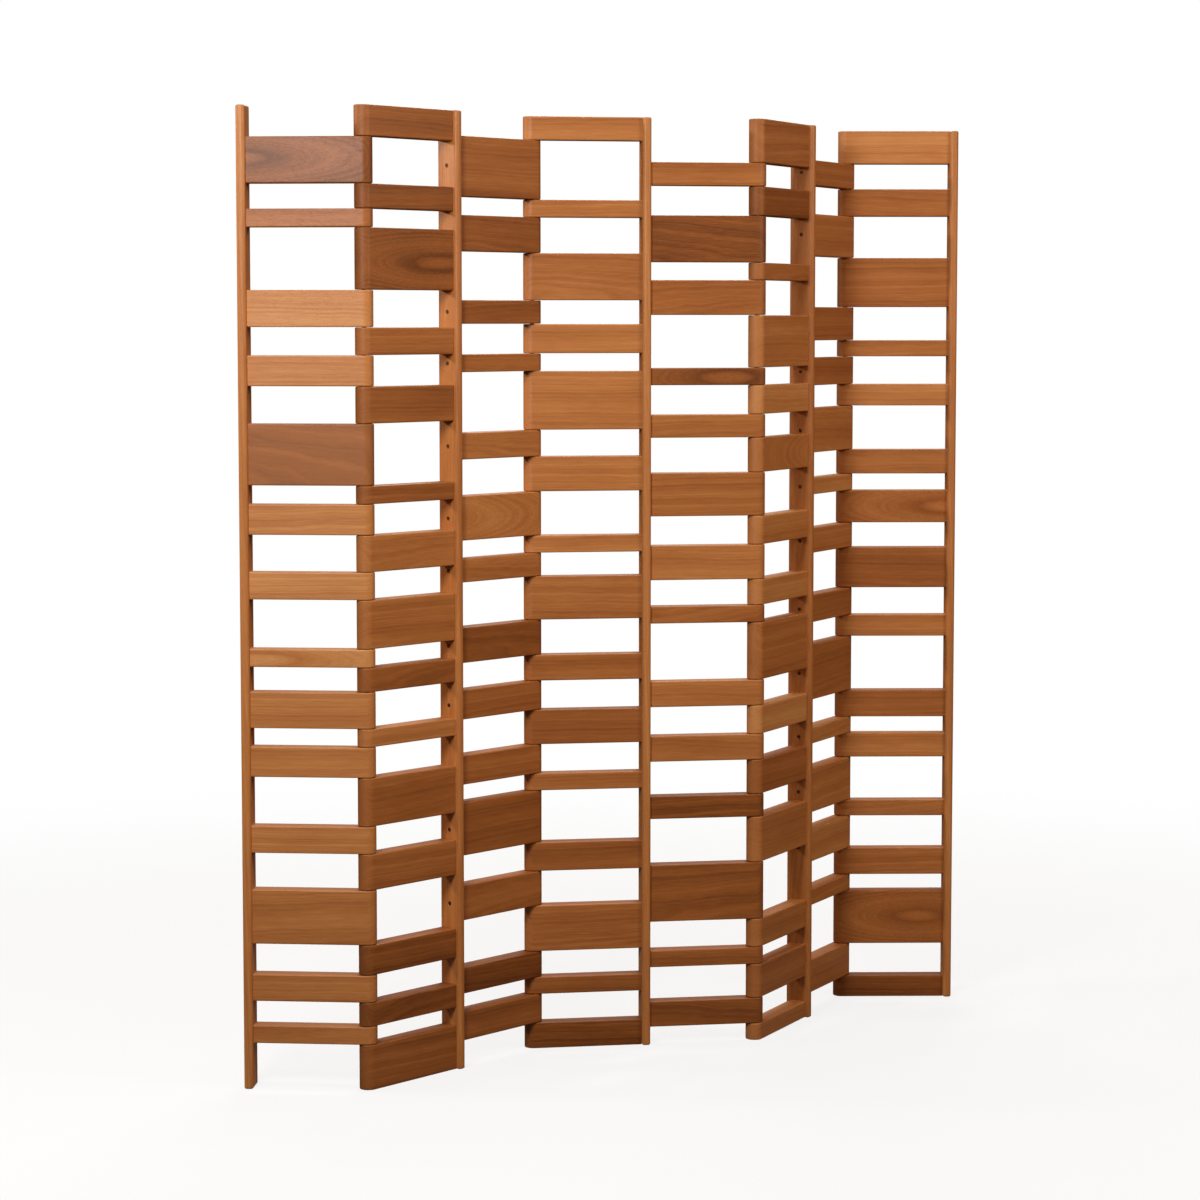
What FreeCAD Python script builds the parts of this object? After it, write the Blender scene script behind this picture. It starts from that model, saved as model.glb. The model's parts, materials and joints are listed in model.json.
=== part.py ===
import FreeCAD, Part
import itertools
import math
import os

# Folding room divider: five leaves of solid wood on four upright hinges.
# A leaf is one upright stile with short level slats butted on one face or on both.
# At a hinge the slats of two leaves lie over one another in turn, like the knuckles of a long hinge,
# and one steel rod runs up through all their round ends.
# Lengths in millimetres, angles in degrees. +Z is up and the floor is z = 0.
# The origin lies on the floor under the middle of the standing screen.

# Overall
SCREEN_HEIGHT = 1600.0
LEAF_HEADINGS = (-4.7, 47.4, 8.8, 62.4, 0.8)  # each leaf's direction in plan as it stands, first leaf to last

# Stiles
STILE_THICKNESS = 15.0
STILE_DEPTH = 46.0
STILE_EDGE_RADIUS = 6.0
STILE_END_RADIUS = 3.0

# Slats
SLAT_THICKNESS = 30.0
SLAT_REACH = 188.0  # from the stile's face to the hinge axis
SLAT_EDGE_RADIUS = 2.0
SLAT_RUNNING_GAP = 0.5  # between two slats that turn on each other
LEAST_FOOT_SLAT = 25.0  # the lowest slat is cut to what is left, but no lower than this

# Slat heights at each hinge, from the top down. The four hinges share one set of boards in four orders.
HINGE_BOARDS = (
    (50, 75, 40, 30, 100, 60, 45, 50, 60, 100, 30, 50, 60, 45, 80,
     30, 40, 60, 30, 50, 80, 45, 60, 90, 50, 45, 40, 30, 75),
    (40, 100, 30, 60, 80, 40, 50, 30, 100, 45, 60, 75, 30, 40, 75,
     60, 45, 50, 60, 50, 30, 90, 50, 60, 80, 45, 30, 50, 45),
    (75, 40, 50, 80, 30, 60, 90, 30, 50, 40, 60, 75, 50, 60, 45,
     30, 100, 45, 50, 45, 60, 40, 80, 100, 50, 30, 60, 45, 30),
    (60, 45, 50, 75, 90, 60, 30, 50, 40, 80, 45, 30, 60, 45, 75,
     50, 40, 100, 50, 30, 45, 80, 30, 60, 50, 30, 100, 60, 40),
)

# Hinge rods, pushed in from below and kept in by a wooden plug
ROD_DIAMETER = 8.0
ROD_CLEARANCE = 0.1  # all round, in every bore
ROD_CHAMFER = 0.8
ROD_COVER = 15.0  # wood left over the blind end of the bore
ROD_END_PLAY = 1.0
PLUG_LENGTH = 10.0
PLUG_RECESS = 2.0
PLUG_CLEARANCE = 0.05

# Countersunk screws, driven through the stile into the end of a slat
SCREW_LENGTH = 40.0
SCREW_DIAMETER = 3.5
SCREW_TIP = 5.0
SCREW_HEAD_DIAMETER = 7.0
SCREW_HEAD_HEIGHT = 2.0
SCREW_SINK = 1.0  # the head lies this far below the stile's face
SCREW_CLEARANCE = 0.05
SCREW_TIP_ROOM = 1.0
SCREW_ACCESS = 1.0  # least distance from the head to a slat beside it
CROSS_WIDTH = 0.8
CROSS_LENGTH = 4.0
CROSS_DEPTH = 1.2

# Blind dowels, where a slat on the far face leaves no room for a screw
DOWEL_LENGTH = 25.0
DOWEL_DIAMETER = 6.0
DOWEL_IN_STILE = 7.0
DOWEL_CLEARANCE = 0.05
DOWEL_END_ROOM = 0.5
DOWEL_CHAMFER = 0.6

# Names
LEFT, RIGHT = "left", "right"
BANDS = ("top", "upper", "lower", "bottom")  # both panels at a hinge are filed in the same four bands

# Derived values
STILE_FACE = STILE_THICKNESS / 2
AXIS_OFFSET = STILE_FACE + SLAT_REACH  # from the middle of a stile to a hinge axis
ROD_FOOT = PLUG_RECESS + PLUG_LENGTH
BORE_TOP = SCREEN_HEIGHT - ROD_COVER
UP = FreeCAD.Vector(0, 0, 1)
ORIGIN = FreeCAD.Vector(0, 0, 0)


def point(x, y, z=0.0):
    return FreeCAD.Vector(x, y, z)


# Layout: where the leaves stand and where the slats lie

def heading_vector(heading, length):
    turn = math.radians(heading)
    return point(length * math.cos(turn), length * math.sin(turn))


def standing_plan():
    """Plan points of the stiles and of the hinge axes, with the middle of their outline at the origin."""
    stiles = [ORIGIN]
    hinges = []
    for here, following in itertools.pairwise(LEAF_HEADINGS):
        hinges.append(stiles[-1] + heading_vector(here, AXIS_OFFSET))
        stiles.append(hinges[-1] + heading_vector(following, AXIS_OFFSET))
    spans = [(place, stile_half_span(turn)) for place, turn in zip(stiles, LEAF_HEADINGS)]
    spans += [(place, point(SLAT_THICKNESS / 2, SLAT_THICKNESS / 2)) for place in hinges]
    low = [min(place[i] - half[i] for place, half in spans) for i in (0, 1)]
    high = [max(place[i] + half[i] for place, half in spans) for i in (0, 1)]
    middle = point((low[0] + high[0]) / 2, (low[1] + high[1]) / 2)
    return [place - middle for place in stiles], [place - middle for place in hinges]


def stile_half_span(heading):
    """Half of a turned stile's outline along X and along Y."""
    along = STILE_THICKNESS / 2 - STILE_EDGE_RADIUS
    across = STILE_DEPTH / 2 - STILE_EDGE_RADIUS
    cosine = abs(math.cos(math.radians(heading)))
    sine = abs(math.sin(math.radians(heading)))
    return point(along * cosine + across * sine + STILE_EDGE_RADIUS,
                 along * sine + across * cosine + STILE_EDGE_RADIUS)


def course_edges(boards):
    """Heights between the courses of one hinge, from the top to the floor; both end courses are even ones."""
    edges = [SCREEN_HEIGHT]
    supply = itertools.cycle(boards)
    even, odd = next(supply), next(supply)
    while edges[-1] - even - odd >= LEAST_FOOT_SLAT:
        edges += [edges[-1] - even, edges[-1] - even - odd]
        even, odd = next(supply), next(supply)
    return edges + [0.0]


def slat_spans(leaf, side):
    """(bottom, top) of every slat on one face of a leaf: odd courses on its right, even ones on its left."""
    hinge = leaf if side == RIGHT else leaf - 1
    if not 0 <= hinge < len(HINGE_BOARDS):
        return []
    edges = course_edges(HINGE_BOARDS[hinge])
    spans = []
    for course in range(1 if side == RIGHT else 0, len(edges) - 1, 2):
        top, bottom = edges[course], edges[course + 1]
        if top < SCREEN_HEIGHT:
            top -= SLAT_RUNNING_GAP / 2
        if bottom > 0:
            bottom += SLAT_RUNNING_GAP / 2
        spans.append((bottom, top))
    return spans


def slat_band(place, spans, side):
    """Band of a panel's slat, counted in pairs of courses, so that both panels change bands at one height."""
    pairs = len(spans) + 1 if side == RIGHT else len(spans)
    return BANDS[place * len(BANDS) // pairs]


def has_screw_room(height, far_spans):
    """True if no slat on the far face covers a screw's head at this height."""
    room = SCREW_HEAD_DIAMETER / 2 + SCREW_ACCESS
    return all(height + room <= bottom or height - room >= top for bottom, top in far_spans)


# Pieces, each in its leaf's own axes: X along the leaf from the stile's middle, shown on the right-hand side

def turned(outline):
    """Solid of revolution about the X axis from (x, radius) points."""
    corners = [point(x, radius) for x, radius in outline]
    face = Part.Face(Part.makePolygon(corners + corners[:1]))
    return face.revolve(ORIGIN, point(1, 0), 360)


def chamfered_rod(radius, length, chamfer):
    rod = Part.makeCylinder(radius, length)
    rims = [edge for edge in rod.Edges if isinstance(edge.Curve, Part.Circle)]
    return rod.makeChamfer(chamfer, rims)


def stile_board():
    """Upright board, well rounded along its length and lightly eased round its two ends."""
    corner = point(-STILE_FACE, -STILE_DEPTH / 2)
    board = Part.makeBox(STILE_THICKNESS, STILE_DEPTH, SCREEN_HEIGHT, corner)
    upright = [edge for edge in board.Edges if edge.BoundBox.ZLength > STILE_DEPTH]
    board = board.makeFillet(STILE_EDGE_RADIUS, upright)
    round_ends = [edge for edge in board.Edges if edge.BoundBox.ZLength < STILE_END_RADIUS]
    return board.makeFillet(STILE_END_RADIUS, round_ends)


def slat_blank(height):
    """Slat with its butt end on the stile's face, its round end about the hinge axis and its edges eased."""
    half = SLAT_THICKNESS / 2
    front_butt, front_round = point(STILE_FACE, -half), point(AXIS_OFFSET, -half)
    back_butt, back_round = point(STILE_FACE, half), point(AXIS_OFFSET, half)
    nose = Part.Arc(front_round, point(AXIS_OFFSET + half, 0), back_round)
    outline = Part.Wire([
        Part.makeLine(front_butt, front_round),
        nose.toShape(),
        Part.makeLine(back_round, back_butt),
        Part.makeLine(back_butt, front_butt),
    ])
    blank = Part.Face(outline).extrude(UP * height)
    lengthwise = [edge for edge in blank.Edges if edge.BoundBox.XLength > half / 2]
    return blank.makeFillet(SLAT_EDGE_RADIUS, lengthwise)


def rod_bore():
    """Blind bore on the hinge axis, from the floor up into the top slat."""
    return Part.makeCylinder(ROD_DIAMETER / 2 + ROD_CLEARANCE, BORE_TOP, point(AXIS_OFFSET, 0))


def hinge_rod():
    rod = chamfered_rod(ROD_DIAMETER / 2, BORE_TOP - ROD_END_PLAY - ROD_FOOT, ROD_CHAMFER)
    rod.translate(point(AXIS_OFFSET, 0, ROD_FOOT))
    return rod


def rod_plug():
    radius = ROD_DIAMETER / 2 + ROD_CLEARANCE - PLUG_CLEARANCE
    return Part.makeCylinder(radius, PLUG_LENGTH, point(AXIS_OFFSET, 0, PLUG_RECESS))


def screw():
    """Countersunk screw from the stile's far face, its head towards -X."""
    head, shank = SCREW_HEAD_DIAMETER / 2, SCREW_DIAMETER / 2
    taper = SCREW_LENGTH - SCREW_TIP
    outline = [(0, 0), (0, head), (SCREW_HEAD_HEIGHT, shank), (taper, shank), (SCREW_LENGTH, 0)]
    slot = Part.makeBox(CROSS_DEPTH, CROSS_WIDTH, CROSS_LENGTH, point(0, -CROSS_WIDTH / 2, -CROSS_LENGTH / 2))
    cross_slot = slot.copy()
    cross_slot.rotate(ORIGIN, point(1, 0), 90)
    body = turned(outline).cut([slot, cross_slot])
    body.translate(point(SCREW_SINK - STILE_FACE, 0))
    return body


def screw_hole():
    """Sunk hole through the stile and on into the slat."""
    head = SCREW_HEAD_DIAMETER / 2 + SCREW_CLEARANCE
    shank = SCREW_DIAMETER / 2 + SCREW_CLEARANCE
    seat = SCREW_SINK - STILE_FACE
    neck = seat + SCREW_HEAD_HEIGHT
    mouth = seat - STILE_THICKNESS
    end = seat + SCREW_LENGTH + SCREW_TIP_ROOM
    return turned([(mouth, 0), (mouth, head), (seat, head), (neck, shank), (end, shank), (end, 0)])


def dowel():
    pin = chamfered_rod(DOWEL_DIAMETER / 2, DOWEL_LENGTH, DOWEL_CHAMFER)
    pin.rotate(ORIGIN, point(0, 1), 90)
    pin.translate(point(STILE_FACE - DOWEL_IN_STILE, 0))
    return pin


def dowel_hole():
    start = point(STILE_FACE - DOWEL_IN_STILE - DOWEL_END_ROOM, 0)
    depth = DOWEL_LENGTH + 2 * DOWEL_END_ROOM
    return Part.makeCylinder(DOWEL_DIAMETER / 2 + DOWEL_CLEARANCE, depth, start, point(1, 0))


# Assembly

def raised(shape, height):
    copy = shape.copy()
    copy.translate(UP * height)
    return copy


def turned_to(shape, side):
    """The same piece on the leaf's other face, half a turn about the stile's middle."""
    copy = shape.copy()
    if side == LEFT:
        copy.rotate(ORIGIN, UP, 180)
    return copy


def build_panel(leaf, side, nodes):
    """Adds one face's slats and fixings to the nodes, and returns the holes that they need in the stile."""
    spans = slat_spans(leaf, side)
    far_spans = slat_spans(leaf, LEFT if side == RIGHT else RIGHT)
    panel = f"leaf_{leaf + 1}_{side}"
    bore = rod_bore()
    fixings = {"screws": (screw(), screw_hole()), "dowels": (dowel(), dowel_hole())}
    stile_holes = []
    for place, (bottom, top) in enumerate(spans):
        middle = (bottom + top) / 2
        kind = "screws" if has_screw_room(middle, far_spans) else "dowels"
        fixing, hole = [raised(shape, middle) for shape in fixings[kind]]
        slat = raised(slat_blank(top - bottom), bottom).cut([bore, hole])
        band = slat_band(place, spans, side)
        nodes.setdefault(f"{panel}_slats_{band}", []).append(turned_to(slat, side))
        nodes.setdefault(f"{panel}_{kind}", []).append(turned_to(fixing, side))
        stile_holes.append(turned_to(hole, side))
    if side == LEFT and spans:
        nodes[f"hinge_{leaf}_rod"] = [turned_to(hinge_rod(), side)]
        nodes[f"hinge_{leaf}_plug"] = [turned_to(rod_plug(), side)]
    return stile_holes


def build_leaf(leaf):
    """Every node of one leaf, in the leaf's own axes."""
    nodes = {}
    holes = build_panel(leaf, LEFT, nodes) + build_panel(leaf, RIGHT, nodes)
    nodes[f"leaf_{leaf + 1}_stile"] = [stile_board().cut(holes)]
    return nodes


def stand_up(shapes, place, heading):
    """One leaf's node as it stands in the screen."""
    group = shapes[0] if len(shapes) == 1 else Part.makeCompound(shapes)
    group.rotate(ORIGIN, UP, heading)
    group.translate(place)
    return group


def build_screen():
    stiles, hinges = standing_plan()
    screen = {}
    for leaf, heading in enumerate(LEAF_HEADINGS):
        for node, shapes in build_leaf(leaf).items():
            screen[node] = stand_up(shapes, stiles[leaf], heading)
    for number, axis in enumerate(hinges, start=1):
        print(f"hinge {number} axis at x {axis.x:.3f}, y {axis.y:.3f}")
    return screen


def main():
    os.makedirs("parts", exist_ok=True)
    for node, shape in build_screen().items():
        shape.exportStep(f"parts/{node}.step")
        print(f"{node}: {len(shape.Solids)} solids, {shape.Volume / 1000:.1f} cm3, valid {shape.isValid()}")


main()
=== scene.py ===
import json
import math
import random
from itertools import pairwise

import bmesh
import bpy
from mathutils import Matrix, Vector

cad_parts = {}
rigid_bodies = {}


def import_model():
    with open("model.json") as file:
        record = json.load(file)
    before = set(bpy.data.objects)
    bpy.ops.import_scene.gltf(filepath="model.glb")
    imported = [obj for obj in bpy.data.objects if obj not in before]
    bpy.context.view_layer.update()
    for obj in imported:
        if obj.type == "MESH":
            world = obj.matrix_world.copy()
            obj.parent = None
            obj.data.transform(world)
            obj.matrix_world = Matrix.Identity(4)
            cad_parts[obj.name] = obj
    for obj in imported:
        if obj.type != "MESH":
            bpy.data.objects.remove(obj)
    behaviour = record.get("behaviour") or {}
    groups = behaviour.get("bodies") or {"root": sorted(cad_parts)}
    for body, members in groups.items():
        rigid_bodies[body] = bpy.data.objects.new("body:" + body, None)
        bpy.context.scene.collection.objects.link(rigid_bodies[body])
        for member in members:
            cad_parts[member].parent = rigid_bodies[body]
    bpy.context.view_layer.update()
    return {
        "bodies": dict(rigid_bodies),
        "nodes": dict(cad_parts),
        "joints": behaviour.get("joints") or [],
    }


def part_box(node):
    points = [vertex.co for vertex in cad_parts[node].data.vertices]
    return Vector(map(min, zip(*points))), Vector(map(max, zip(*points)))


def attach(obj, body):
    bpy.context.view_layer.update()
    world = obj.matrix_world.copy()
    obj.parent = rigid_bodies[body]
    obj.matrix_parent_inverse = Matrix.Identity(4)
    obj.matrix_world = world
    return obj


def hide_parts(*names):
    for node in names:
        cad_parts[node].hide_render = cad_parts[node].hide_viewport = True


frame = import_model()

nodes = frame["nodes"]

sameSolid = 0.0005  # faces nearer in height than this belong to one solid


# each leaf's place, with X along the leaf from the middle of its stile, and the distance to its hinges
def leafPlaces():
    axes = {joint["name"]: Vector(joint["pos_m"]) for joint in frame["joints"]}
    places = {}
    for leaf in sorted(frame["bodies"]):
        number = int(leaf.split("_")[1])
        low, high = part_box(leaf + "_stile")
        stile = Vector(((low.x + high.x) / 2, (low.y + high.y) / 2, 0))
        if f"hinge_{number}" in axes:
            along = axes[f"hinge_{number}"] - stile
        else:  # the last leaf has a hinge on its left only
            along = stile - axes[f"hinge_{number - 1}"]
        turn = Matrix.Rotation(math.atan2(along.y, along.x), 4, "Z")
        places[leaf] = (Matrix.Translation(stile) @ turn, along.length)
    return places


# low and high corner of a CAD piece, in its leaf's own axes
def sizeInLeaf(node, place):
    back = place.inverted()
    points = [back @ vertex.co for vertex in nodes[node].data.vertices]
    low = Vector(min(p[i] for p in points) for i in range(3))
    high = Vector(max(p[i] for p in points) for i in range(3))
    return low, high


# bottom and top of every solid in a CAD piece whose solids stand clear above one another
def heightsIn(node):
    mesh = nodes[node].data
    faces = [[mesh.vertices[i].co.z for i in face.vertices] for face in mesh.polygons]
    spans = []
    for low, high in sorted((min(zs), max(zs)) for zs in faces):
        if spans and low <= spans[-1][1] + sameSolid:
            spans[-1][1] = max(spans[-1][1], high)
        else:
            spans.append([low, high])
    return spans


places = leafPlaces()
print("leaves placed:", len(places))


# wires: sockets of a material that can be used in plain sums
class Wire:
    def __init__(self, tree, socket=None):
        self.tree = tree
        self.socket = socket

    def node(self, kind, settings=None, inputs=None, output=0):
        made = self.tree.nodes.new(kind)
        for name, value in (settings or {}).items():
            if name == "stops":
                self.setStops(made.color_ramp, value)
            else:
                setattr(made, name, value)
        for name, value in (inputs or {}).items():
            if isinstance(value, Wire):
                self.tree.links.new(value.socket, made.inputs[name])
            else:
                made.inputs[name].default_value = value
        return Wire(self.tree, made.outputs[output])

    def setStops(self, ramp, stops):
        while len(ramp.elements) < len(stops):
            ramp.elements.new(0.5)
        for element, (place, colour) in zip(ramp.elements, stops):
            element.position = place
            element.color = (*colour, 1.0)

    def other(self, output):  # another output of the same node
        return Wire(self.tree, self.socket.node.outputs[output])

    def maths(self, operation, first, second=0.0):
        return self.node("ShaderNodeMath", {"operation": operation}, {0: first, 1: second})

    def clamped(self):
        return self.node("ShaderNodeMath", {"operation": "ADD", "use_clamp": True}, {0: self, 1: 0.0})

    def centred(self):  # noise from 0 to 1, moved to lie about 0
        return self - 0.5

    def between(self, low, high):  # 0 below low, 1 above high, smooth between
        settings = {"interpolation_type": "SMOOTHSTEP"}
        return self.node("ShaderNodeMapRange", settings, {"Value": self, "From Min": low, "From Max": high})

    def blend(self, first, second, kind="MIX"):  # first colour at 0, second at 1
        first, second = ((*c, 1.0) if isinstance(c, tuple) else c for c in (first, second))
        settings = {"data_type": "RGBA", "blend_type": kind}
        return self.node("ShaderNodeMix", settings, {"Factor": self, 6: first, 7: second}, 2)

    def stretched(self, along, across, up):  # a place, scaled along its three ways
        settings = {"operation": "MULTIPLY"}
        return self.node("ShaderNodeVectorMath", settings, {0: self, 1: (along, across, up)})

    def length(self):
        return self.node("ShaderNodeVectorMath", {"operation": "LENGTH"}, {0: self}, "Value")

    def __add__(self, other):
        return self.maths("ADD", self, other)

    def __radd__(self, other):
        return self.maths("ADD", other, self)

    def __sub__(self, other):
        return self.maths("SUBTRACT", self, other)

    def __rsub__(self, other):
        return self.maths("SUBTRACT", other, self)

    def __mul__(self, other):
        return self.maths("MULTIPLY", self, other)

    def __rmul__(self, other):
        return self.maths("MULTIPLY", other, self)


def newFinish(name):
    material = bpy.data.materials.new(name)
    material.use_nodes = True
    shader = material.node_tree.nodes["Principled BSDF"]
    return material, Wire(material.node_tree), shader


def feed(target, name, wire):
    wire.tree.links.new(wire.socket, target.inputs[name])


def feedBump(shader, height, look):
    inputs = {"Strength": look["bumpStrength"], "Distance": look["bumpHeight"], "Height": height}
    feed(shader, "Normal", height.node("ShaderNodeBump", None, inputs))


# oiled hardwood: growth lines follow rings about the log's heart, so a board's faces, edges and ends agree
slatWood = dict(
    tones=((0.00, (0.045, 0.0105, 0.0008)), (0.25, (0.150, 0.0385, 0.0040)), (0.50, (0.300, 0.090, 0.0165)),
           (0.75, (0.450, 0.164, 0.043)), (1.00, (0.600, 0.272, 0.090))),
    rose=(0.330, 0.120, 0.040), roseShare=0.55, roseBanding=0.75, roseShades=(0.70, 1.15),
    # growth rings
    bandsPerMetre=48, linesPerMetre=300, streaksPerBand=0.6, streakShift=7.3, streakEdge=(0.58, 0.72),
    sway=0.018, rippleShare=0.35, plainSway=0.25,  # plain: on a board without figure
    # noise cells in a metre, along the grain and across it
    wander=(3.5, 12), ripple=(16, 45), patches=(6, 20), fibres=(22, 620), pores=(130, 2600),
    poreEdge=(0.60, 0.72),
    # how far rings and noise lighten or darken the board
    bandDepth=0.46, lineDepth=0.26, fibreDepth=0.30, patchDepth=0.20, poreDepth=0.05,
    streakDepth=0.36, streakPatches=1.5, streakEven=0.6, plainStreaks=0.55,
    endFade=0.75, endDarker=0.03, edgeLighter=0.05,
    # surface
    roughness=0.38, bandRougher=0.10, poreRougher=0.12, endRougher=0.12, shine=0.32,
    fibreRelief=0.5, lineRelief=0.35, bumpStrength=0.35, bumpHeight=0.00030)
stileWood = dict(slatWood, bandsPerMetre=60, bandDepth=0.26, streakDepth=0.12, sway=0.008)


def woodFinish(name, look):
    material, bench, shader = newFinish(name)

    def pointNote(note, output):
        return bench.node("ShaderNodeAttribute", {"attribute_name": note}, output=output)

    def clouds(cells, detail=2.0, rough=0.5):
        along, across = cells
        inputs = {"Vector": place.stretched(along, across, across), "Scale": 1.0,
                  "Detail": detail, "Roughness": rough}
        return bench.node("ShaderNodeTexNoise", None, inputs)

    def rings(count, detail=3.0, rough=0.5):
        inputs = {"W": count, "Scale": 1.0, "Detail": detail, "Roughness": rough}
        return bench.node("ShaderNodeTexNoise", {"noise_dimensions": "1D"}, inputs)

    place = pointNote("grainPlace", "Vector")
    tone = bench.node("ShaderNodeSeparateXYZ", None, {"Vector": pointNote("boardTone", "Vector")})
    rose, figure = tone.other("Y"), tone.other("Z")
    ends = pointNote("endGrain", "Fac")
    edges = pointNote("rubbedEdge", "Fac")

    # distance from the heart, swaying along the board
    bends = clouds(look["wander"]).centred() + clouds(look["ripple"]).centred() * look["rippleShare"]
    distance = place.stretched(0, 1, 1).length() + bends * (figure + look["plainSway"]) * look["sway"]
    bands = rings(distance * look["bandsPerMetre"], rough=0.55)
    lines = rings(distance * look["linesPerMetre"], rough=0.6)
    streakCount = distance * (look["bandsPerMetre"] * look["streaksPerBand"]) + look["streakShift"]
    streaks = rings(streakCount, detail=2.0).between(*look["streakEdge"])
    patchy = clouds(look["patches"], detail=3.0).centred()
    fibre = clouds(look["fibres"], detail=3.0, rough=0.6)
    pores = clouds(look["pores"], detail=1.0).between(*look["poreEdge"])

    # lightness of the wood, then its colour
    drawn = bands.centred() * look["bandDepth"] + lines.centred() * look["lineDepth"]
    streakPlaces = (patchy * look["streakPatches"] + look["streakEven"]) * (figure + look["plainStreaks"])
    drawn = drawn - streaks * streakPlaces * look["streakDepth"]
    light = (tone + drawn * (1 - ends * look["endFade"]) + fibre.centred() * look["fibreDepth"]
             + patchy * look["patchDepth"] - pores * look["poreDepth"]
             - ends * look["endDarker"] + edges * look["edgeLighter"])
    colour = bench.node("ShaderNodeValToRGB", {"stops": look["tones"]}, {"Fac": light.clamped()})
    blush = (rose * look["roseShare"]).blend(colour, look["rose"])
    shades = [(end, (shade, shade, shade)) for end, shade in enumerate(look["roseShades"])]
    banding = bench.node("ShaderNodeValToRGB", {"stops": shades}, {"Fac": bands})
    feed(shader, "Base Color", (look["roseBanding"] * rose).blend(blush, banding, "MULTIPLY"))

    rougher = (1 - bands) * look["bandRougher"] + pores * look["poreRougher"] + ends * look["endRougher"]
    feed(shader, "Roughness", look["roughness"] + rougher)
    shader.inputs["Specular IOR Level"].default_value = look["shine"]
    feedBump(shader, fibre * look["fibreRelief"] + lines * look["lineRelief"] - pores, look)
    return material


# named board colours: lightness, rose blush, figure
boardTones = dict(
    pale=(0.82, 0.00, 0.25), honey=(0.74, 0.00, 0.30), tan=(0.67, 0.05, 0.45), amber=(0.60, 0.00, 0.35),
    rose=(0.44, 0.70, 0.90), russet=(0.53, 0.10, 0.40), umber=(0.44, 0.10, 0.50), dark=(0.36, 0.00, 0.50),
    deep=(0.27, 0.00, 0.50))

# boards picked for each panel, counted from the top; the rest take the panel's usual tone
# each panel's lightness shift is partly painted light: it is set to balance how the lamps light each panel,
# and leaf 4, which faces furthest to the right, is painted the lightest. The darker tones picked for the
# lowest boards partly paint the shade that falls towards the floor, and leaf 1's two top boards are partly
# painted darker against the front lamp's sheen
boardChoice = {
    "leaf_1_right": dict(usual="tan", lighter=0.01, dark=(1,), rose=(5,), pale=(3, 7, 8),
                         honey=(4, 6, 9, 10, 11), russet=(2,)),
    "leaf_2_left": dict(usual="russet", lighter=0.01, umber=(1, 5, 6, 9, 15), dark=(2, 3, 13, 14),
                        amber=(4, 8), tan=(7, 10)),
    "leaf_2_right": dict(usual="amber", lighter=0.01, russet=(1, 9, 12), umber=(2, 3, 8, 11, 14),
                         deep=(13,), tan=(5, 7), honey=(6,)),
    "leaf_3_left": dict(usual="tan", lighter=-0.04, honey=(1, 4, 5, 6, 7), amber=(9, 13),
                        russet=(10, 12, 14), dark=(15,)),
    "leaf_3_right": dict(usual="amber", lighter=-0.03, umber=(4, 12, 14), dark=(2, 11), russet=(13,),
                         tan=(5, 10), honey=(7, 9)),
    "leaf_4_left": dict(usual="tan", lighter=0.06, russet=(1, 3, 11, 14), dark=(2,), amber=(9, 12, 13),
                        honey=(7, 8), pale=(5, 10)),
    "leaf_4_right": dict(usual="tan", lighter=0.085, russet=(1, 3, 4, 8, 9), amber=(2, 13, 14),
                         honey=(10, 12), pale=(6,)),
    "leaf_5_left": dict(usual="tan", lighter=-0.01, pale=(1, 5), honey=(9, 11), amber=(2, 3, 7, 10, 13),
                        russet=(8, 14), dark=(15,)),
    # stiles 2 and 4 take a darker tone; for stile 4 it partly paints the shade on its left-hand face
    "stile": dict(usual="honey", lighter=0.0, tan=(2, 4)),
}
# boards sawn near the heart of the log, with arched growth lines on their faces
archedBoards = {"leaf_1_right": (1, 8), "leaf_2_left": (3,), "leaf_2_right": (6,), "leaf_3_right": (4,),
                "leaf_4_left": (6,), "leaf_5_left": (7, 14)}
# how boards of one tone differ; the heart's distance and the grain's slope shape the growth lines
boardSpread = dict(
    tone=0.02, figure=0.25, lean=15, heart=(0.05, 0.16), slope=0.07, start=30,
    archedFigure=0.4, archedLean=(75, 105), archedHeart=(0.012, 0.030), archedSlope=(0.14, 0.26))


def pickBoard(panel, number):
    dice = random.Random(f"{panel} {number}")
    choice = boardChoice[panel]
    picked = [name for name in boardTones if number in choice.get(name, ())]
    light, rose, figure = boardTones[picked[0] if picked else choice["usual"]]
    # the panel's lightness shift, partly painted light, and a small random spread
    light += choice["lighter"] + dice.uniform(-1, 1) * boardSpread["tone"]
    figure += dice.uniform(-1, 1) * boardSpread["figure"]
    figure = min(max(figure, 0.0), 1.0)
    # degrees: 0 is sawn along the rays of the log, 90 across them
    lean = 90 * figure + dice.uniform(-boardSpread["lean"], boardSpread["lean"])
    reach = dice.uniform(*boardSpread["heart"])
    slope = boardSpread["slope"] * figure
    if number in archedBoards.get(panel, ()):
        lean = dice.uniform(*boardSpread["archedLean"])
        reach = dice.uniform(*boardSpread["archedHeart"])
        slope = dice.uniform(*boardSpread["archedSlope"])
        figure *= boardSpread["archedFigure"]
    heart = (reach * math.sin(math.radians(lean)), reach * math.cos(math.radians(lean)))
    return dict(tone=Vector((light, rose, figure)), start=dice.uniform(0, boardSpread["start"]), slope=slope,
                heart=heart, side=dice.choice((-1, 1)))


meshCare = dict(weld=0.000005, sliver=0.000002, creaseAngle=40)  # metres, and degrees


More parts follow.
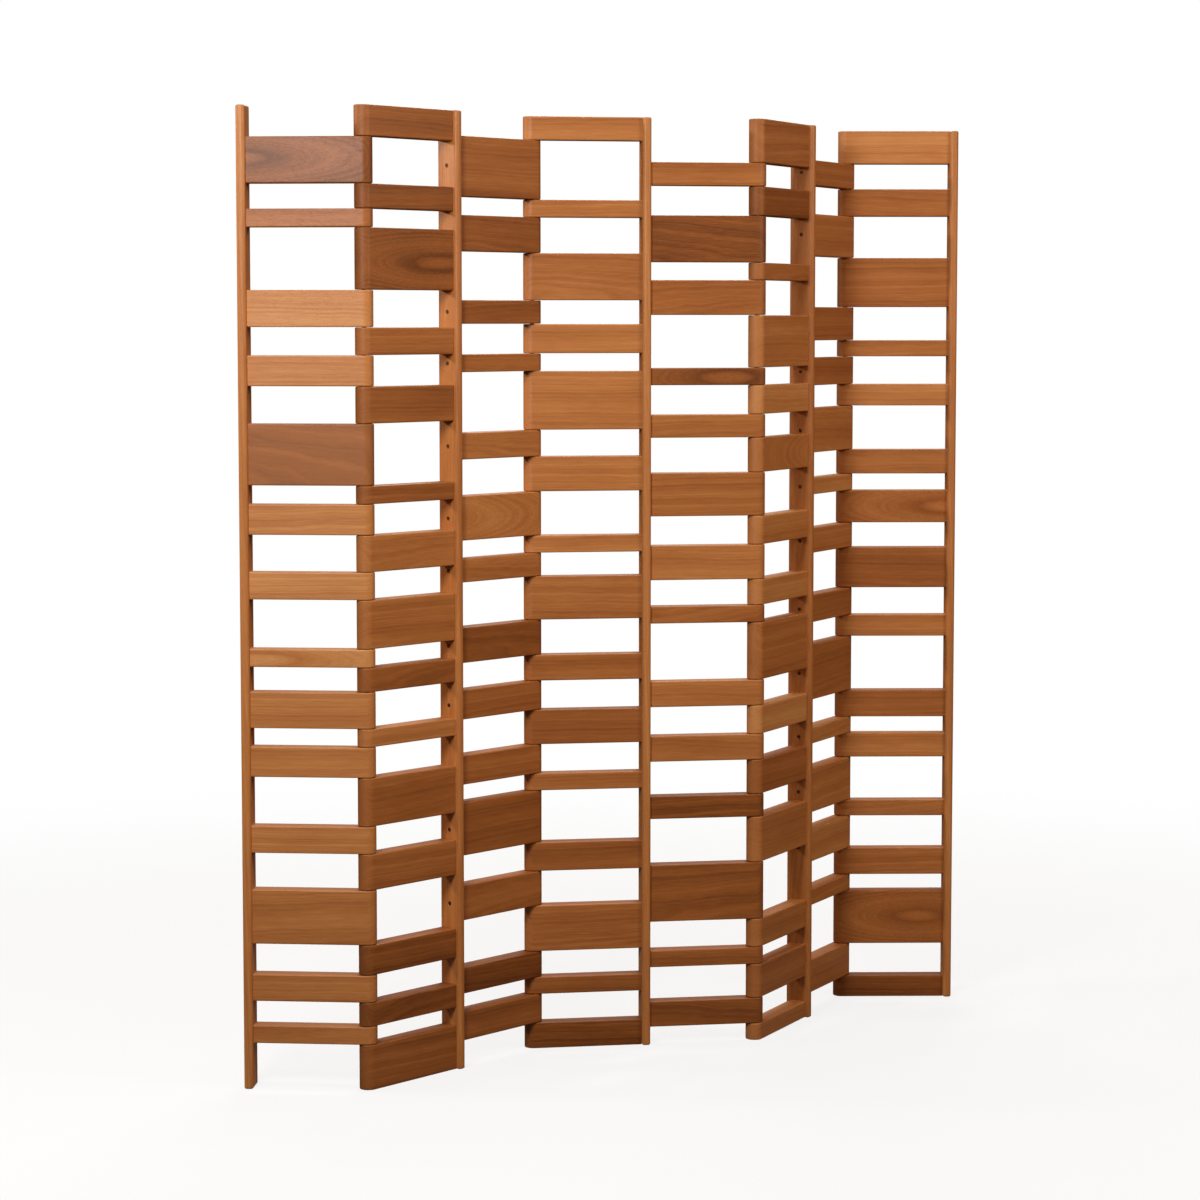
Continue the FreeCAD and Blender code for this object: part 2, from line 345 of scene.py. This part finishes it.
# a piece in the making: a mesh with the notes that the wood finish reads at each point
class Making:
    def __init__(self):
        self.mesh = bmesh.new()
        layers = self.mesh.verts.layers
        self.grainPlace = layers.float_vector.new("grainPlace")
        self.boardTone = layers.float_vector.new("boardTone")
        self.endGrain = layers.float.new("endGrain")
        self.rubbedEdge = layers.float.new("rubbedEdge")

    # along is the way of the grain, across and up are the board's other two ways
    def point(self, spot, board, along, across, up, end=0.0, rubbed=0.0):
        vert = self.mesh.verts.new(spot)
        heartX, heartY = board["heart"]
        ringX = across + heartX * board["side"] + along * board["slope"]
        ringY = up + heartY
        vert[self.grainPlace] = Vector((along + board["start"], ringX, ringY))
        vert[self.boardTone] = board["tone"]
        vert[self.endGrain] = end
        vert[self.rubbedEdge] = rubbed
        return vert

    def face(self, verts):
        return self.mesh.faces.new(verts)

    def walls(self, rings, skip=()):
        for level, (lower, upper) in enumerate(pairwise(rings)):
            count = len(lower)
            for i in range(count):
                if (level, i) not in skip:
                    following = (i + 1) % count
                    self.face((lower[i], lower[following], upper[following], upper[i]))

    def finished(self, name, finish):
        bmesh.ops.remove_doubles(self.mesh, verts=self.mesh.verts, dist=meshCare["weld"])
        bmesh.ops.dissolve_degenerate(self.mesh, edges=self.mesh.edges, dist=meshCare["sliver"])
        bmesh.ops.recalc_face_normals(self.mesh, faces=self.mesh.faces)
        mesh = bpy.data.meshes.new(name)
        self.mesh.to_mesh(mesh)
        self.mesh.free()
        mesh.shade_smooth()
        mesh.set_sharp_from_angle(angle=math.radians(meshCare["creaseAngle"]))
        mesh.materials.append(finish)
        piece = bpy.data.objects.new(name, mesh)
        bpy.context.scene.collection.objects.link(piece)
        return piece


# angles of a turn cut into equal steps, from 0 up to the whole turn
def turnSteps(whole, steps):
    return [whole * step / steps for step in range(steps + 1)]


# levels of an eased board: (inset, height, how rubbed), from its foot to its head
def easedLevels(low, high, easing, steps, hem):
    foot = []
    for t in turnSteps(math.pi / 2, steps):
        foot.append((easing * (1 - math.sin(t)), low + easing * (1 - math.cos(t)), math.sin(2 * t)))
    foot.append((0.0, low + easing + hem, 0.0))
    head = [(inset, low + high - height, rubbed) for inset, height, rubbed in reversed(foot)]
    return foot + head


# slats: butt end on the stile, round end bored for the hinge rod; a hem keeps flat faces flat
slatCut = dict(
    easing=0.002, easingSteps=5, hem=0.0007, noseSteps=28,
    bore=0.0082, boreSteps=24, boreCover=0.015)


# points (x, y, end grain) round a slat: two along the front, the nose, then the back and the butt
def slatOutline(cut, inset):
    half = cut["half"] - inset
    flatEnd = cut["axis"] - cut["hem"]
    front = [(cut["butt"], -half, 0.0), (flatEnd, -half, 0.0)]
    nose = []
    for t in turnSteps(math.pi, cut["noseSteps"]):
        nose.append((cut["axis"] + half * math.sin(t), -half * math.cos(t), math.sin(t)))
    back = [(flatEnd, half, 0.0), (cut["butt"], half, 0.0), (cut["butt"], 0.0, 0.0)]
    return front + nose + back


def addSlat(making, place, cut, board, low, high, isTop):
    middle = (low + high) / 2

    def spot(x, y, z, end=0.0, rubbed=0.0):
        return making.point(place @ Vector((x, y, z)), board, x, y, z - middle, end, rubbed)

    levels = easedLevels(low, high, cut["easing"], cut["easingSteps"], cut["hem"])
    inner = cut["easing"] + cut["hem"]
    rings = []
    for inset, z, rubbed in [(inner, low, 0.0)] + levels + [(inner, high, 0.0)]:
        rings.append([spot(x, y, z, end, rubbed) for x, y, end in slatOutline(cut, inset)])
    making.walls(rings)

    def boreRing(z):
        radius = cut["bore"] / 2
        turns = turnSteps(2 * math.pi, cut["boreSteps"])[:-1]
        return [spot(cut["axis"] + radius * math.cos(t), -radius * math.sin(t), z, 1.0) for t in turns]

    # an end face in two halves round its bore, divided from the nose's tip to the middle of the butt
    def boredCap(ring, hole):
        tip = 2 + cut["noseSteps"] // 2  # after the two points along the front
        half = len(hole) // 2
        making.face([ring[-1]] + ring[:tip + 1] + hole[:half + 1])
        making.face(ring[tip:] + hole[half:] + hole[:1])

    lowHole = boreRing(low)
    boredCap(rings[0], lowHole)
    if isTop:  # the bore stops short of the top
        highHole = boreRing(high - cut["boreCover"])
        making.face(highHole)
        making.face(rings[-1])
    else:
        highHole = boreRing(high)
        boredCap(rings[-1], highHole)
    making.walls([lowHole, highHole])


def makeSlats(finish):
    for leaf, (place, reach) in places.items():
        for side in ("left", "right"):
            panel = f"{leaf}_{side}"
            groups = [f"{panel}_slats_{band}" for band in ("top", "upper", "lower", "bottom")]
            if groups[0] not in nodes:  # the end leaves have slats on one side
                continue
            facing = place if side == "right" else place @ Matrix.Rotation(math.pi, 4, "Z")
            near, far = sizeInLeaf(groups[0], facing)
            cut = dict(slatCut, half=far.y, butt=near.x, axis=reach)
            number = 0
            for group in groups:
                making = Making()
                for low, high in reversed(heightsIn(group)):
                    number += 1
                    board = pickBoard(panel, number)
                    isTop = side == "left" and number == 1
                    addSlat(making, facing, cut, board, low, high, isTop)
                piece = making.finished(group + "_boards", finish)
                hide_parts(group)
                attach(piece, leaf)
            print(panel, "slats:", number)


# stiles: eased all round, with a sunk hole for each screw
stileCut = dict(
    easing=0.006, endEasing=0.003, easingSteps=7, hem=0.0008,
    headHole=0.0071, shankHole=0.0036, sink=0.001, seat=0.002, holeSteps=24,
    rim=0.0003, rimRubbed=0.6,
    oneLevel=0.014)  # holes nearer in height than this share a stretch of the faces


# points (x, y) round a stile: four eased corners, with three more down the left-hand and the right-hand face
def stileOutline(cut, inset):
    flatX = cut["halfThick"] - cut["easing"]
    flatY = cut["halfDepth"] - cut["easing"]
    radius = cut["easing"] - inset
    nearEdge = flatY - cut["hem"]
    outline = []
    for quarter, (x, y) in enumerate(((flatX, flatY), (-flatX, flatY), (-flatX, -flatY), (flatX, -flatY))):
        for t in turnSteps(math.pi / 2, cut["easingSteps"]):
            turn = math.pi / 2 * quarter + t
            outline.append((x + radius * math.cos(turn), y + radius * math.sin(turn)))
        if quarter == 1:
            outline += [(-flatX - radius, y) for y in (nearEdge, 0.0, -nearEdge)]
        if quarter == 3:
            outline += [(flatX + radius, y) for y in (-nearEdge, 0.0, nearEdge)]
    return outline


# heights between the screw holes, where the stile's faces are divided
def holeDivides(cut, holes):
    heights = sorted(height for _, height in holes)
    return [(low + high) / 2 for low, high in pairwise(heights) if high - low > cut["oneLevel"]]


def addStile(making, place, cut, board, height, holes):
    def spot(x, y, z, end=0.0, rubbed=0.0):
        return making.point(place @ Vector((x, y, z)), board, z, x, y, end, rubbed)

    levels = easedLevels(0.0, height, cut["endEasing"], cut["easingSteps"], cut["hem"])
    levels += [(0.0, z, 0.0) for z in holeDivides(cut, holes)]
    levels.sort(key=lambda level: level[1])
    rings = []
    for inset, z, rubbed in levels:
        end = inset / cut["endEasing"]
        rings.append([spot(x, y, z, end, rubbed) for x, y in stileOutline(cut, inset)])

    # first of the three face columns on the left-hand and on the right-hand face
    arcs = cut["easingSteps"] + 1
    columns = {-1: 2 * arcs, 1: 4 * arcs + 3}
    skip = set()
    for side, z in holes:
        level = max(i for i in range(len(levels)) if levels[i][1] < z)
        first = columns[side]
        skip |= {(level, first), (level, first + 1)}
        addScrewHole(making, spot, cut, side, z, rings[level], rings[level + 1], first)
    making.walls(rings, skip)
    making.face(rings[0])
    making.face(rings[-1])


def addScrewHole(making, spot, cut, side, height, lower, upper, first):
    face = side * cut["halfThick"]
    turns = turnSteps(2 * math.pi, cut["holeSteps"])[:-1]

    def circle(radius, depth, rubbed=0.0):
        x = face - side * depth
        ring = [(-side * radius * math.sin(t), height - radius * math.cos(t)) for t in turns]
        return [spot(x, y, z, 0.0, rubbed) for y, z in ring]

    head, shank = cut["headHole"] / 2, cut["shankHole"] / 2
    mouth = circle(head + cut["rim"], 0.0, cut["rimRubbed"])
    rings = [mouth, circle(head, cut["rim"]), circle(head, cut["sink"])]
    rings.append(circle(shank, cut["sink"] + cut["seat"]))
    half = len(mouth) // 2
    near, centre, far = first, first + 1, first + 2
    making.face([lower[centre], lower[near], upper[near], upper[centre]] + mouth[half::-1])
    making.face([lower[far], lower[centre]] + mouth[:1] + mouth[:half - 1:-1] + [upper[centre], upper[far]])
    making.walls(rings)
    making.face(rings[-1])


def makeStiles(finish):
    for number, (leaf, (place, _)) in enumerate(places.items(), start=1):
        _, far = sizeInLeaf(leaf + "_stile", place)
        cut = dict(stileCut, halfThick=far.x, halfDepth=far.y)
        holes = []
        for side, face in (("right", -1), ("left", 1)):  # a screw goes in from the face across from its slat
            screws = f"{leaf}_{side}_screws"
            if screws in nodes:
                holes += [(face, (bottom + top) / 2) for bottom, top in heightsIn(screws)]
        making = Making()
        addStile(making, place, cut, pickBoard("stile", number), far.z, holes)
        piece = making.finished(leaf + "_stile_board", finish)
        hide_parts(leaf + "_stile")
        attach(piece, leaf)
        print(leaf, "stile with", len(holes), "screw holes")


# drawn steel, aged brass and bare dowel wood, for the CAD pieces that stay
steelLook = dict(
    dull=(0.30, 0.30, 0.31), bright=(0.62, 0.62, 0.63), marks=(900, 900, 6), tarnish=260.0, marksShare=0.5,
    brightEdge=(0.35, 0.65), roughness=0.28, rougher=0.25, bumpStrength=0.2, bumpHeight=0.0001)
brassLook = dict(
    steelLook, dull=(0.060, 0.028, 0.011), bright=(0.20, 0.105, 0.042), marks=(700, 700, 700),
    roughness=0.45)
dowelLook = dict(
    deep=(0.36, 0.22, 0.11), pale=(0.52, 0.37, 0.21), fleck=420.0, paleEdge=(0.35, 0.65),
    roughness=0.62, rougher=0.2, bumpStrength=0.3, bumpHeight=0.0002)


def metalFinish(name, look):
    material, bench, shader = newFinish(name)
    spot = bench.node("ShaderNodeTexCoord", output="Object")
    along = spot.stretched(*look["marks"])
    marks = bench.node("ShaderNodeTexNoise", None, {"Vector": along, "Scale": 1.0, "Detail": 4.0})
    spots = {"Vector": spot, "Scale": look["tarnish"], "Detail": 3.0}
    tarnish = bench.node("ShaderNodeTexNoise", None, spots)
    mottle = marks * look["marksShare"] + tarnish * (1 - look["marksShare"])
    feed(shader, "Base Color", mottle.between(*look["brightEdge"]).blend(look["dull"], look["bright"]))
    feed(shader, "Roughness", look["roughness"] + (1 - tarnish) * look["rougher"])
    shader.inputs["Metallic"].default_value = 1.0
    feedBump(shader, marks, look)
    return material


def dowelFinish(name, look):
    material, bench, shader = newFinish(name)
    spot = bench.node("ShaderNodeTexCoord", output="Object")
    inputs = {"Vector": spot, "Scale": look["fleck"], "Detail": 4.0, "Roughness": 0.7}
    fleck = bench.node("ShaderNodeTexNoise", None, inputs)
    feed(shader, "Base Color", fleck.between(*look["paleEdge"]).blend(look["deep"], look["pale"]))
    feed(shader, "Roughness", look["roughness"] + fleck * look["rougher"])
    feedBump(shader, fleck, look)
    return material


def dressHardware():
    steel = metalFinish("drawnSteel", steelLook)
    brass = metalFinish("agedBrass", brassLook)
    dowelWood = dowelFinish("bareDowelWood", dowelLook)
    finishes = dict(rod=steel, screws=brass, plug=dowelWood, dowels=dowelWood)
    dressed = 0
    for name, piece in nodes.items():
        finish = finishes.get(name.split("_")[-1])
        if finish:
            piece.data.materials.clear()
            piece.data.materials.append(finish)
            dressed += 1
    print("rods, plugs, screws and dowels dressed:", dressed)


# pale floor that fades into the white surround: clearness is its share of see-through at the middle
floorLook = dict(radius=9.0, edges=96, fadeFrom=0.9, fadeTo=3.2, clearness=0.80, colour=(0.72, 0.71, 0.69),
                 roughness=0.9, shine=0.1)


def makeFloor(look):
    plan = bmesh.new()
    bmesh.ops.create_circle(plan, cap_ends=True, segments=look["edges"], radius=look["radius"])
    mesh = bpy.data.meshes.new("floor")
    plan.to_mesh(mesh)
    plan.free()
    floor = bpy.data.objects.new("floor", mesh)
    bpy.context.scene.collection.objects.link(floor)
    material, bench, shader = newFinish("paleFloor")
    shader.inputs["Base Color"].default_value = (*look["colour"], 1.0)
    shader.inputs["Roughness"].default_value = look["roughness"]
    shader.inputs["Specular IOR Level"].default_value = look["shine"]
    spot = bench.node("ShaderNodeTexCoord", output="Object")
    away = spot.length().between(look["fadeFrom"], look["fadeTo"])
    fade = away * (1 - look["clearness"]) + look["clearness"]
    clear = bench.node("ShaderNodeBsdfTransparent")
    solid = Wire(material.node_tree, shader.outputs[0])
    mixed = bench.node("ShaderNodeMixShader", None, {0: fade, 1: solid, 2: clear})
    feed(material.node_tree.nodes["Material Output"], "Surface", mixed)
    mesh.materials.append(material)
    print("floor laid")


# soft studio lights, all aimed at the middle of the screen, in a dim surround that the camera sees as white
studioLook = dict(
    ambient=0.20, ambientColour=(1.0, 0.97, 0.93), seenColour=(1.0, 1.0, 1.0), horizon=(-0.1, 0.3),
    aim=(0.0, 0.0, 0.95),
    frontLight=dict(place=(-0.92, -2.25, 1.95), wide=0.6, tall=1.0, power=46, colour=(1.0, 1.0, 0.98)),
    rightLight=dict(place=(2.15, -1.24, 2.00), wide=0.8, tall=0.8, power=29, colour=(1.0, 0.80, 0.60)),
    leftLight=dict(place=(-2.20, -0.20, 1.90), wide=0.2, tall=0.2, power=24, colour=(1.0, 0.84, 0.66)),
    ceilingLight=dict(place=(0.0, -0.89, 3.39), wide=2.0, tall=2.0, power=16, colour=(1.0, 1.0, 1.0)),
    backLight=dict(place=(0.30, 2.50, 3.40), wide=2.0, tall=1.0, power=75, colour=(1.0, 0.96, 0.90)))


def makeLight(name, look, aim):
    data = bpy.data.lights.new(name, "AREA")
    data.shape = "ELLIPSE"
    data.size = look["wide"]
    data.size_y = look["tall"]
    data.energy = look["power"]
    data.color = look["colour"]
    lamp = bpy.data.objects.new(name, data)
    lamp.location = look["place"]
    lamp.rotation_euler = (Vector(aim) - Vector(look["place"])).to_track_quat("-Z", "Y").to_euler()
    bpy.context.scene.collection.objects.link(lamp)


def makeStudio(look):
    world = bpy.data.worlds.new("surround")
    world.use_nodes = True
    bpy.context.scene.world = world
    bench = Wire(world.node_tree)
    seen = bench.node("ShaderNodeLightPath", output="Is Camera Ray")
    way = bench.node("ShaderNodeTexCoord", output="Generated")
    above = bench.node("ShaderNodeSeparateXYZ", None, {"Vector": way}).other("Z").between(*look["horizon"])
    background = world.node_tree.nodes["Background"]
    feed(background, "Color", seen.blend(look["ambientColour"], look["seenColour"]))
    feed(background, "Strength", (1 - seen) * above * look["ambient"] + seen)
    lights = [name for name in look if name.endswith("Light")]
    for name in lights:
        makeLight(name, look[name], look["aim"])
    bpy.context.scene.view_settings.view_transform = "Standard"
    print("studio lit by", len(lights), "soft lights")


# the photograph's view: a nearly level, long lens, its frame lowered by a small shift
viewLook = dict(place=(-0.0555, -5.2766, 1.2563), tiltDown=4.568, turnRight=0.221, lens=91.54, sensor=36.0,
                frameLowered=0.03)


def makeCamera(look):
    data = bpy.data.cameras.new("camera")
    data.sensor_width = look["sensor"]
    data.lens = look["lens"]
    data.shift_y = -look["frameLowered"]
    camera = bpy.data.objects.new("camera", data)
    camera.location = look["place"]
    camera.rotation_euler = (math.radians(90 - look["tiltDown"]), 0, -math.radians(look["turnRight"]))
    bpy.context.scene.collection.objects.link(camera)
    bpy.context.scene.camera = camera
    print("camera set")


makeSlats(woodFinish("slatWood", slatWood))
makeStiles(woodFinish("stileWood", stileWood))
dressHardware()
makeFloor(floorLook)
makeStudio(studioLook)
makeCamera(viewLook)
